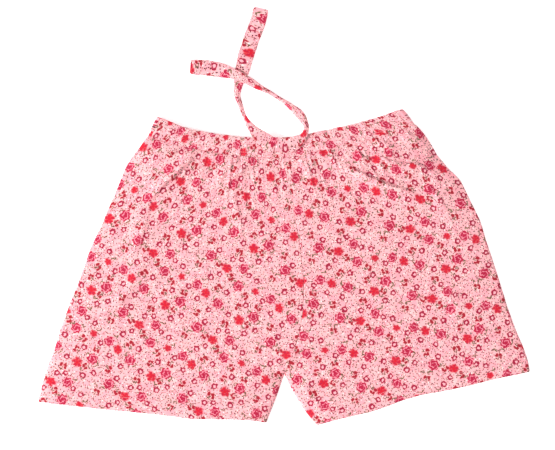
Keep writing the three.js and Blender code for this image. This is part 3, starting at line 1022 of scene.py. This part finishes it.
def build_waistband(legs, sizes):
    """The casing: one ring of cloth folded over the elastic, with the gathers of the panels."""
    pucker = band_pucker(legs, STATIONS)
    slow = ripples(STATIONS * STATION_STEP, 41, [(31, 0.35), (17, 0.3)])
    profile = np.array(CASING_PROFILE)
    rows = len(profile)
    r, h = (np.repeat(profile[None, :, k], len(STATIONS), 0) for k in (0, 1))
    outer = (np.arange(rows) <= OUTER_ROWS)[None, :]
    rim = np.exp(-(((h - 27.0) / 4.0) ** 2))
    low = np.exp(-(((h - 1.0) / 5.0) ** 2))
    strength = np.where(outer, 0.55 + 0.2 * low + 0.1 * rim, 0.10)
    fine = ripples(STATIONS * STATION_STEP, 77, FINE_PUCKERS)[:, None] * outer
    radius = r + pucker[:, None] * strength + fine * np.sin(h / 27 * math.pi).clip(0) ** 0.5
    share, first = station_share(STATIONS)
    under_tie = np.exp(-(((share - 0.5) / 0.13) ** 6))[:, None]
    radius = np.minimum(radius, lerp(6.9, 5.95, under_tie))
    least = LEAST_WALL - 0.9 * smooth(h, 25, 27) - 0.8 * smooth(3 - h, 0, 4)
    radius = np.where(outer, np.maximum(radius, least), radius)
    height = h + rim * (0.35 * slow[:, None] + 0.25 * pucker[:, None])
    points = band_loop(legs, np.repeat(STATIONS[:, None], rows, 1), radius, height)
    faces, station, row = ring_quads(len(STATIONS), rows)
    run = np.concatenate([[0], np.cumsum(np.hypot(*np.diff(profile, axis=0).T))])
    middle = share[station] * 0.5 + share[(station + 1) % len(STATIONS)] * 0.5
    uv = np.zeros((len(faces), 4, 2))
    for name, leg in legs.items():
        mine = middle < 0.5 if name == "right" else middle >= 0.5
        for front in (True, False):
            pick = np.flatnonzero(mine & (first[station] == front))
            for corner, (di, dj) in enumerate(((0, 0), (1, 0), (1, 1), (0, 1))):
                s = share[(station[pick] + di) % len(STATIONS)]
                u = np.clip(2 * (s if name == "right" else 1 - s), 0, 1)
                flat = widened(leg, leg.point(u, np.ones_like(u)), np.ones_like(u), sizes)
                flat[..., 1] += run[row[pick] + dj]
                uv[pick, corner] = print_place(leg, flat, back=not front)
    casing = mesh_object("waistband_casing_cloth", points.reshape(-1, 3), faces, uv.reshape(-1, 2))
    outward_ring(casing)
    finish_cloth(casing, sizes.cloth)
    dress(casing, "floral_cotton", "waistband_casing")


def outward_ring(made):
    """Turns the faces of the band so that its outer wall faces out."""
    mesh = made.data
    face = mesh.polygons[0]
    centre = face.center
    if (face.normal.z > 0) != (centre.z > OUTER_RADIUS * MM):
        mesh.flip_normals()


# ---------- Stitching ----------

STITCH_SINK = 0.05  # how far a stitch is pulled into the cloth


def thread_rod(radius, long, rounding):
    """A short rod of thread along Z with rounded ends: its points and faces."""
    bpy.ops.object.select_all(action="DESELECT")
    bpy.ops.mesh.primitive_cylinder_add(vertices=8, radius=radius * MM, depth=long * MM)
    rod = bpy.context.object
    bpy.ops.object.mode_set(mode="EDIT")
    bpy.ops.mesh.select_all(action="DESELECT")
    bpy.ops.mesh.select_mode(type="FACE")
    bpy.ops.object.mode_set(mode="OBJECT")
    for face in rod.data.polygons:
        face.select = abs(face.normal.z) > 0.9
    bpy.ops.object.mode_set(mode="EDIT")
    bpy.ops.mesh.inset(thickness=rounding * MM, depth=rounding * MM)
    bpy.ops.object.mode_set(mode="OBJECT")
    points = np.array([v.co[:] for v in rod.data.vertices]) / MM
    faces = [list(p.vertices) for p in rod.data.polygons]
    bpy.data.objects.remove(rod, do_unlink=True)
    return points, faces


def sew(name, node, copies, rod_faces):
    """Joins copies of one rod of thread into a piece."""
    count = len(copies[0])
    faces = [[k * count + i for i in face] for k in range(len(copies)) for face in rod_faces]
    made = mesh_object(name, np.concatenate(copies), faces)
    outward(made)
    made.data.shade_smooth()
    dress(made, "spun_thread", node)


def stitch_row(name, lines, sizes, node):
    """Copies a stitch along lines of points, each given with the cloth's outward direction."""
    rod, rod_faces = thread_rod(0.19, sizes.stitch * 0.78, 0.10)
    rod = rod[:, [2, 0, 1]]
    copies = []
    for line, normal in lines:
        run = np.concatenate([[0], np.cumsum(np.linalg.norm(np.diff(line, axis=0), axis=1))])
        for s in np.arange(sizes.stitch, run[-1] - sizes.stitch, sizes.stitch):
            a, b, middle, out = (
                np.array([np.interp(t, run, source[:, k]) for k in range(3)])
                for t, source in (
                    (s - sizes.stitch * 0.4, line), (s + sizes.stitch * 0.4, line), (s, line), (s, normal)
                )
            )
            along = (b - a) / np.linalg.norm(b - a)
            out = out - along * (out @ along)
            out = out / np.linalg.norm(out)
            across = np.cross(out, along)
            copies.append(middle - out * STITCH_SINK + rod @ np.stack([along, across, out]))
    sew(name, node, copies, rod_faces)


def band_stitch_lines(legs):
    """Lines along the casing's outer face, on the front and the back."""
    pucker = band_pucker(legs, STATIONS)
    height = np.full(len(STATIONS), STITCH_HEIGHT)
    low = math.exp(-(((STITCH_HEIGHT - 1.0) / 5.0) ** 2))
    waist = math.sin(STITCH_HEIGHT / 27 * math.pi) ** 0.5
    fine = ripples(STATIONS * STATION_STEP, 77, FINE_PUCKERS) * waist
    radius = np.maximum(LEAST_WALL + pucker * (0.55 + 0.2 * low) + fine, LEAST_WALL)
    place = band_loop(legs, STATIONS, radius, height)
    normal = band_loop(legs, STATIONS, radius + 1, height) - place
    half = RUN_STATIONS + TURN_STATIONS
    return [(place[k : k + RUN_STATIONS], normal[k : k + RUN_STATIONS]) for k in (0, half)]


def row_on(surface, v, at):
    """The line of a panel's surface at one v for each u, with its normal."""
    line, ahead = (
        np.stack([[np.interp(w, v[i], surface[i, :, k]) for k in range(3)] for i in range(len(surface))])
        for w in (at, at + 0.01)
    )
    normal = np.cross(np.gradient(line, axis=0), ahead - line)
    normal /= np.linalg.norm(normal, axis=1, keepdims=True)
    return line, normal


# ---------- Hems, seams and tie ----------

SEAM_INSET = 1.2  # between a seam and its allowance
SEAM_ENDS = 0.012  # share of a leg that the allowances leave free at each end
LOW_SEAM = 1.25  # height of the allowances that lie on the back
RISE_SEAM_END = 45  # from the crotch to the lower end of the rise's allowances


def build_hem(leg, front, back, u, v, sizes):
    """The turned-up layer inside one leg: a ring from the fold of the hem to its inner edge."""
    depth = np.array([0.1, 0.8, 2.5, 5.5, 9, 13, 16.5, 19, 20.2]) * sizes.hem_depth / 20
    picks = np.linspace(3, COLUMNS - 3, 76).astype(int)
    ring = []
    for surface, sign in ((front, -1), (back, 1)):
        rows = []
        for d in depth:
            line, _ = row_on(surface, v, d / leg.long)
            inset = 0.75 + 0.15 * math.sin(d)
            line = line[picks].copy()
            line[:, 2] += sign * (inset + 0.4)
            rows.append(line)
        strip = np.stack(rows, 1)
        ring.append(strip if sign == -1 else strip[::-1])
    points = np.concatenate(ring)
    faces, _, _ = ring_quads(*points.shape[:2])
    plan = points[..., :2].reshape(-1, 2)
    uv = print_place(leg, plan + np.array([7.0, 11.0]))[faces.ravel()]
    hem = mesh_object("hem_" + leg.name + "_cloth", points.reshape(-1, 3), faces, uv)
    if hem.data.polygons[len(hem.data.polygons) // 4].normal.z > 0:
        hem.data.flip_normals()
    finish_cloth(hem, sizes.cloth)
    dress(hem, "floral_cotton", "hem_" + leg.name)


def build_seam(node, line, low, sizes):
    """A seam allowance: a narrow strip with overlocked, slightly wavy edges."""
    half_width = sizes.seam_allowance / 2
    along = np.gradient(line, axis=0)
    across = np.stack([-along[:, 1], along[:, 0]], -1) / np.linalg.norm(along, axis=1, keepdims=True)
    offsets = np.linspace(-half_width, half_width, 9)
    run = np.concatenate([[0], np.cumsum(np.hypot(*np.diff(line, axis=0).T))])
    points = []
    for k, off in enumerate(offsets):
        edge = abs(off) / half_width
        wave = 0.25 * np.sin(run * 1.7 + k) * edge**4
        height = low + 0.15 + 0.10 * np.sin(run / 7 + k * 0.7)
        points.append(np.column_stack([line + across * (off + wave)[:, None], height]))
    points = np.stack(points, 1)
    rows, columns = points.shape[:2]
    faces = quads(rows, columns)
    uv = np.stack([np.repeat(offsets[None], rows, 0), np.repeat(run[:, None], columns, 1)], -1) / 100
    strip = mesh_object(node + "_cloth", points.reshape(-1, 3), faces, corner_uv(uv, faces))
    finish_cloth(strip, sizes.cloth, offset=1, smoothed=False)
    outward(strip)
    dress(strip, "floral_cotton", node)


# The route of each strand from the tack: across, along, height of its middle, width, thickness.
STRANDS = {
    "right": [
        (-5.0, -10.2, 12.8, 23.0, 1.7), (-10.5, -8.8, 12.8, 22.8, 1.7), (-16.5, -4.6, 12.8, 21.5, 1.8),
        (-22.5, 0.4, 12.9, 19.0, 2.0), (-29.6, 6.6, 13.1, 15.5, 2.4), (-37.6, 15.8, 13.0, 10.2, 3.4),
        (-43.8, 26.0, 10.6, 6.6, 4.4), (-47.7, 34.5, 7.4, 6.4, 4.6), (-52.3, 47.4, 3.6, 7.4, 4.2),
        (-55.5, 58.5, 2.1, 8.6, 3.6), (-54.8, 70.6, 1.7, 11.8, 2.8), (-52.9, 79.7, 1.5, 14.6, 2.3),
        (-49.2, 91.3, 1.3, 19.0, 2.0), (-44.9, 109.4, 1.2, 21.6, 1.8), (-36.6, 135.2, 1.2, 21.8, 1.7),
        (-28.2, 157.4, 1.2, 21.8, 1.7), (-23.4, 176.2, 1.2, 21.0, 1.6),
    ],
    "left": [
        (5.0, -10.2, 12.8, 23.0, 1.7), (12.0, -9.6, 12.8, 22.5, 1.7), (22.4, -6.6, 12.8, 19.0, 1.9),
        (31.2, -0.4, 13.0, 13.0, 2.4), (36.4, 7.9, 13.2, 8.6, 3.6), (37.2, 18.2, 12.4, 8.0, 4.0),
        (29.8, 30.2, 8.6, 11.2, 3.0), (19.6, 40.8, 5.2, 8.2, 3.4), (5.7, 51.2, 2.9, 5.6, 4.4),
        (-9.4, 60.6, 2.9, 6.0, 4.4), (-22.2, 67.6, 3.6, 7.0, 4.2), (-35.2, 74.6, 4.7, 9.2, 3.6),
        (-49.2, 82.2, 4.9, 11.8, 3.0), (-61.4, 87.6, 4.4, 15.0, 2.5), (-77.6, 92.2, 2.6, 19.8, 2.0),
        (-94.4, 95.2, 1.4, 21.0, 1.8), (-110.0, 96.6, 1.2, 21.0, 1.7), (-119.4, 97.2, 1.2, 20.6, 1.6),
    ],
}
TACK_STITCHES, TACK_HALF, TACK_LEAN, TACK_HEIGHT = 30, 8.6, 0.28, 13.52
TIE_SIDES = 28
TIE_PRINT = 62.0  # where the middle of the tie lies along the print, in millimetres
TIE_AROUND = 46.0  # cloth round the tie
ROLL_TURNS = {"right": 1.6, "left": 3.2}


def along_route(route, step):
    """Route points spaced evenly on a smooth curve through the given ones."""
    p = np.array(route, float)
    padded = np.vstack([2 * p[0] - p[1], p, 2 * p[-1] - p[-2]])
    fine = []
    for k in range(1, len(padded) - 2):
        a, b, c, d = padded[k - 1 : k + 3]
        t = np.linspace(0, 1, 24, endpoint=False)[:, None]
        fine.append(
            0.5 * (2 * b + (c - a) * t + (2 * a - 5 * b + 4 * c - d) * t**2 + (3 * b - a - 3 * c + d) * t**3)
        )
    fine = np.vstack(fine + [padded[-2:-1]])
    run = np.concatenate([[0], np.cumsum(np.linalg.norm(np.diff(fine[:, :3], axis=0), axis=1))])
    at = np.linspace(0, run[-1], int(run[-1] / step) + 1)
    at = np.concatenate([[0, 0.12, 0.35], at[1:-1], [run[-1] - 0.35, run[-1] - 0.12, run[-1]]])
    return np.column_stack([np.interp(at, run, fine[:, k]) for k in range(fine.shape[1])]), at


def tie_tube(name, route, turns, origin_xy, sense, print_start):
    """A flat cloth tube that narrows into a roll where its width says so."""
    line, run = along_route(route, 1.6)
    centre = line[:, :3].copy()
    centre[:, :2] += origin_xy
    width, thick = line[:, 3], line[:, 4]
    total = run[-1]
    end = np.clip((total - run) / 4.5, 0, 1)
    rounding = np.sqrt(1 - (1 - end) ** 2) * 0.22 + 0.78
    along = np.gradient(centre, axis=0)
    along /= np.linalg.norm(along, axis=1, keepdims=True)
    across = np.column_stack([-along[:, 1], along[:, 0], np.zeros(len(along))])
    across /= np.linalg.norm(across, axis=1, keepdims=True)
    up = np.cross(along, across)
    theta = np.linspace(0, 2 * math.pi, TIE_SIDES, endpoint=False)
    rolled = smooth(16 - width, 0, 8)[:, None]
    cos, sin = np.cos(theta)[None], np.sin(theta)[None]
    flat_x = np.sign(cos) * np.abs(cos) ** 0.75
    flat_z = np.sign(sin) * np.abs(sin) ** 0.45
    twist = (run / total * turns * 2 * math.pi)[:, None]
    wound = 0.16 * np.cos(2 * theta[None] + twist) + 0.12 * np.cos(5 * theta[None] - twist * 1.7)
    ridge = 1 + rolled * wound
    x = lerp(flat_x, cos * ridge, rolled) * width[:, None] / 2 * rounding[:, None]
    z = lerp(flat_z, sin * ridge, rolled) * thick[:, None] / 2
    fold = ripples(run, 61 + len(name), [(19, 0.20), (11, 0.14)])[:, None]
    z = z + fold * np.cos(theta * 2)[None] * (1 - rolled) * 0.5 * (np.abs(cos) < 0.97)
    rings = centre[:, None] + across[:, None] * x[..., None] + up[:, None] * z[..., None]
    count, sides = rings.shape[:2]
    i, j = np.meshgrid(np.arange(count - 1), np.arange(sides), indexing="ij")
    nxt = (j + 1) % sides
    faces = np.stack([i * sides + j, (i + 1) * sides + j, (i + 1) * sides + nxt, i * sides + nxt], -1)
    faces = faces.reshape(-1, 4).tolist()
    around = np.arange(sides + 1) / sides * TIE_AROUND
    uv = []

    def printed(across_mm, along_mm):
        across_mm = across_mm if sense > 0 else TIE_AROUND / 2 - across_mm
        return (across_mm + 31.0) / 100, (print_start + sense * along_mm) / 100

    for a in range(count - 1):
        for b in range(sides):
            for da, db in ((0, 0), (1, 0), (1, 1), (0, 1)):
                uv.append(printed(around[b + db], run[a + da]))
    points = rings.reshape(-1, 3).tolist()
    for ring, flip in ((0, False), (count - 1, True)):
        hub = len(points)
        points.append(rings[ring].mean(0).tolist())
        for b in range(sides):
            pair = [ring * sides + b, ring * sides + (b + 1) % sides]
            faces.append([pair[1], pair[0], hub] if flip else [pair[0], pair[1], hub])
            for db in ((1, 0) if flip else (0, 1)):
                uv.append(printed(around[b + db], run[ring]))
            uv.append(printed(TIE_AROUND / 4, run[ring]))
    tube = mesh_object(name, np.array(points), faces, uv)
    outward(tube)
    add_smoothing(tube)
    apply_all(tube)
    tube.data.shade_smooth()
    tube.data.materials.append(material("floral_cotton"))
    return tube, centre, total


def build_tie(sizes):
    """Two free strands and the sewn-down middle between them."""
    low, high = (np.array(c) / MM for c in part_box("tie_centre"))
    top_middle = (low + high)[:2] / 2 - TACK
    tack = np.array([(low + high)[0] / 2, top_middle[1]])
    for name, route in STRANDS.items():
        node = "tie_strand_" + name
        sense = 1 if name == "left" else -1
        strand, centre, total = tie_tube(
            node + "_cloth", route, ROLL_TURNS[name], tack, sense, TIE_PRINT + 5 * sense
        )
        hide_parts(node)
        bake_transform(strand)
    middle = [(-5.0, -10.2, 12.8, 23.0, 1.7), (-2.5, -10.3, 12.75, 23.2, 1.6), (0, -10.4, 12.7, 23.2, 1.45),
              (2.5, -10.3, 12.75, 23.2, 1.6), (5.0, -10.2, 12.8, 23.0, 1.7)]
    centre, _, _ = tie_tube("tie_centre_cloth", middle, 0.0, tack, 1, TIE_PRINT - 5)
    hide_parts("tie_centre")
    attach(centre, "shorts")
    build_bartack(tack)


def build_bartack(tack):
    """A close zigzag of thread that holds the tie on the band."""
    rod, rod_faces = thread_rod(0.13, 1.5, 0.05)
    copies = []
    for k in range(TACK_STITCHES):
        y = -TACK_HALF + 2 * TACK_HALF * k / (TACK_STITCHES - 1)
        lean = TACK_LEAN if k % 2 else -TACK_LEAN
        along = np.array([math.cos(lean), math.sin(lean), 0])
        across = np.array([-math.sin(lean), math.cos(lean), 0])
        turned = rod[:, 2:3] * along + rod[:, 0:1] * across + rod[:, 1:2] * np.array([0, 0, 1.0])
        copies.append(turned + np.array([tack[0], tack[1] + TACK[1] + y, TACK_HEIGHT]))
    sew("tie_bartack_thread", "tie_bartack", copies, rod_faces)


# ---------- Operators ----------

CAMERA_PLACE = (-0.0088, 0.0581, 1.7735)
LENS = 85.0
FLOOR_DROP = 0.0002  # of the floor under the cloth
FLOOR_GLOW = 0.5
WORLD_STRENGTH = 0.34
LIGHTS = (  # name, place, size, power
    ("key", (-3.6, -0.6, 2.5), 1.6, 290.0),
    ("fill", (1.5, -0.2, 2.0), 2.2, 22.0),
)


class SHORTS_OT_camera(bpy.types.Operator):
    """Adds the camera that looks straight down on the shorts"""

    bl_idname = "shorts.camera"
    bl_label = "Camera"

    def execute(self, context):
        data = bpy.data.cameras.new("camera")
        data.lens = LENS
        data.sensor_width = 36.0
        data.dof.use_dof = False
        data.clip_end = 20
        camera = bpy.data.objects.new("camera", data)
        camera.location = CAMERA_PLACE
        context.scene.collection.objects.link(camera)
        context.scene.camera = camera
        return {"FINISHED"}


class SHORTS_OT_tie(bpy.types.Operator):
    """Makes the tie: two loose strands, the sewn-down middle and its bar tack"""

    bl_idname = "shorts.tie"
    bl_label = "Tie"

    def execute(self, context):
        build_tie(context.scene.shorts_sizes)
        return {"FINISHED"}


class SHORTS_OT_panels(bpy.types.Operator):
    """Makes the four leg panels and lets the front settle over the back"""

    bl_idname = "shorts.panels"
    bl_label = "Leg panels"

    def execute(self, context):
        sizes = context.scene.shorts_sizes
        legs = make_legs(sizes)
        settled, grids = settle(legs, sizes)
        Shapes.legs, Shapes.grids, Shapes.front, Shapes.back = legs, grids, {}, {}
        for name, leg in legs.items():
            u, v = grids[name]
            Shapes.front[name] = shape_front(leg, settled[name], u, v)
            Shapes.back[name] = shape_back(leg, u, v)
            build_panel(leg, Shapes.front[name], u, v, True, sizes)
            build_panel(leg, Shapes.back[name], u, v, False, sizes)
        return {"FINISHED"}


class SHORTS_OT_waistband(bpy.types.Operator):
    """Makes the gathered waistband casing and finishes the elastic inside it"""

    bl_idname = "shorts.waistband"
    bl_label = "Waistband"

    def execute(self, context):
        build_waistband(Shapes.legs, context.scene.shorts_sizes)
        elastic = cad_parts["waist_elastic"]
        elastic.data.materials.clear()
        elastic.data.materials.append(material("ribbed_elastic"))
        return {"FINISHED"}


class SHORTS_OT_hems(bpy.types.Operator):
    """Makes the turned-up hems inside the legs"""

    bl_idname = "shorts.hems"
    bl_label = "Hems"

    def execute(self, context):
        for name, leg in Shapes.legs.items():
            u, v = Shapes.grids[name]
            build_hem(leg, Shapes.front[name], Shapes.back[name], u, v, context.scene.shorts_sizes)
        return {"FINISHED"}


class SHORTS_OT_seams(bpy.types.Operator):
    """Makes the seam allowances inside the shorts"""

    bl_idname = "shorts.seams"
    bl_label = "Seams"

    def execute(self, context):
        sizes = context.scene.shorts_sizes
        from_edge = sizes.seam_allowance / 2 + SEAM_INSET
        for name, leg in Shapes.legs.items():
            v = np.linspace(SEAM_ENDS, 0.985, 150)
            build_seam(f"side_seam_{name}", leg.point(from_edge / leg.width(v), v), LOW_SEAM, sizes)
            v = np.linspace(SEAM_ENDS, leg.crotch - SEAM_ENDS, 40)
            build_seam(f"inseam_{name}", leg.point(1 - from_edge / leg.width(v), v), LOW_SEAM, sizes)
        leg = Shapes.legs["right"]
        low = 1 - RISE_SEAM_END / leg.rise.length
        high = (sizes.band_height + 1.5) / leg.rise.length
        line = leg.rise.at(np.linspace(low, high, 130)) - leg.origin
        build_seam("front_rise_seam", line, sizes.front_height - 2.4, sizes)
        build_seam("back_rise_seam", line, LOW_SEAM, sizes)
        return {"FINISHED"}


class SHORTS_OT_stitching(bpy.types.Operator):
    """Sews the visible rows of stitches round the band and the hems"""

    bl_idname = "shorts.stitching"
    bl_label = "Stitching"

    def execute(self, context):
        sizes = context.scene.shorts_sizes
        legs = Shapes.legs
        stitch_row("waistband_stitch_thread", band_stitch_lines(legs), sizes, "waistband_stitch")
        for name, leg in legs.items():
            u, v = Shapes.grids[name]
            lines = []
            for surface, up in ((Shapes.front[name], 1), (Shapes.back[name], -1)):
                line, normal = row_on(surface, v, sizes.hem_depth / leg.long)
                normal = normal * np.sign(normal[:, 2:3]) * up
                lines.append((line[3:-3], normal[3:-3]))
            lines = lines[:1] + [(line + [0, 0, 0.32], -normal) for line, normal in lines[1:]]
            stitch_row(f"hem_stitch_{name}_thread", lines, sizes, f"hem_stitch_{name}")
        return {"FINISHED"}


class SHORTS_OT_stage(bpy.types.Operator):
    """Adds the pale floor, the lights and the surroundings"""

    bl_idname = "shorts.stage"
    bl_label = "Stage"

    def execute(self, context):
        scene = context.scene
        bpy.ops.object.select_all(action="DESELECT")
        bpy.ops.mesh.primitive_plane_add(size=8, location=(0, 0, -FLOOR_DROP))
        floor = context.object
        floor.name = "floor"
        paper = new_material("pale_floor", lambda nodes, colours: {
            "Base Color": (0.96, 0.96, 0.96, 1),
            "Roughness": 0.9,
            "Specular IOR Level": 0.1,
            "Emission Color": (1, 1, 1, 1),
            "Emission Strength": FLOOR_GLOW,
        })
        floor.data.materials.append(paper)
        world = bpy.data.worlds.new("surroundings")
        world.use_nodes = True
        background = world.node_tree.nodes["Background"].inputs
        background["Color"].default_value = (1.0, 0.995, 0.99, 1)
        background["Strength"].default_value = WORLD_STRENGTH
        scene.world = world
        for name, place, size, power in LIGHTS:
            data = bpy.data.lights.new(name, "AREA")
            data.size = size
            data.energy = power
            light = bpy.data.objects.new(name, data)
            light.location = place
            light.rotation_euler = (-Vector(place)).to_track_quat("-Z", "Y").to_euler()
            scene.collection.objects.link(light)
        scene.view_settings.view_transform = "Standard"
        scene.view_settings.look = "None"
        return {"FINISHED"}


class SHORTS_PT_panel(bpy.types.Panel):
    """Lists the pieces of the shorts"""

    bl_label = "Patient Shorts"
    bl_idname = "SHORTS_PT_panel"
    bl_space_type = "VIEW_3D"
    bl_region_type = "UI"
    bl_category = "Shorts"

    def draw(self, context):
        column = self.layout.column()
        for group in (context.scene.shorts_sizes, context.scene.shorts_colours):
            for key in group.__annotations__:
                column.prop(group, key)
        for operator in OPERATORS:
            column.operator(operator.bl_idname)


OPERATORS = (
    SHORTS_OT_camera, SHORTS_OT_tie, SHORTS_OT_panels, SHORTS_OT_waistband, SHORTS_OT_hems,
    SHORTS_OT_seams, SHORTS_OT_stitching, SHORTS_OT_stage,
)
CLASSES = (GarmentSizes, PrintColours, *OPERATORS, SHORTS_PT_panel)


def register():
    for cls in CLASSES:
        bpy.utils.register_class(cls)
    bpy.types.Scene.shorts_sizes = PointerProperty(type=GarmentSizes)
    bpy.types.Scene.shorts_colours = PointerProperty(type=PrintColours)


def unregister():
    del bpy.types.Scene.shorts_colours
    del bpy.types.Scene.shorts_sizes
    for cls in reversed(CLASSES):
        bpy.utils.unregister_class(cls)


def main():
    register()
    for name in ("camera", "tie", "panels", "waistband", "hems", "seams", "stitching", "stage"):
        getattr(bpy.ops.shorts, name)()
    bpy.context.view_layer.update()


if __name__ == "__main__":
    main()
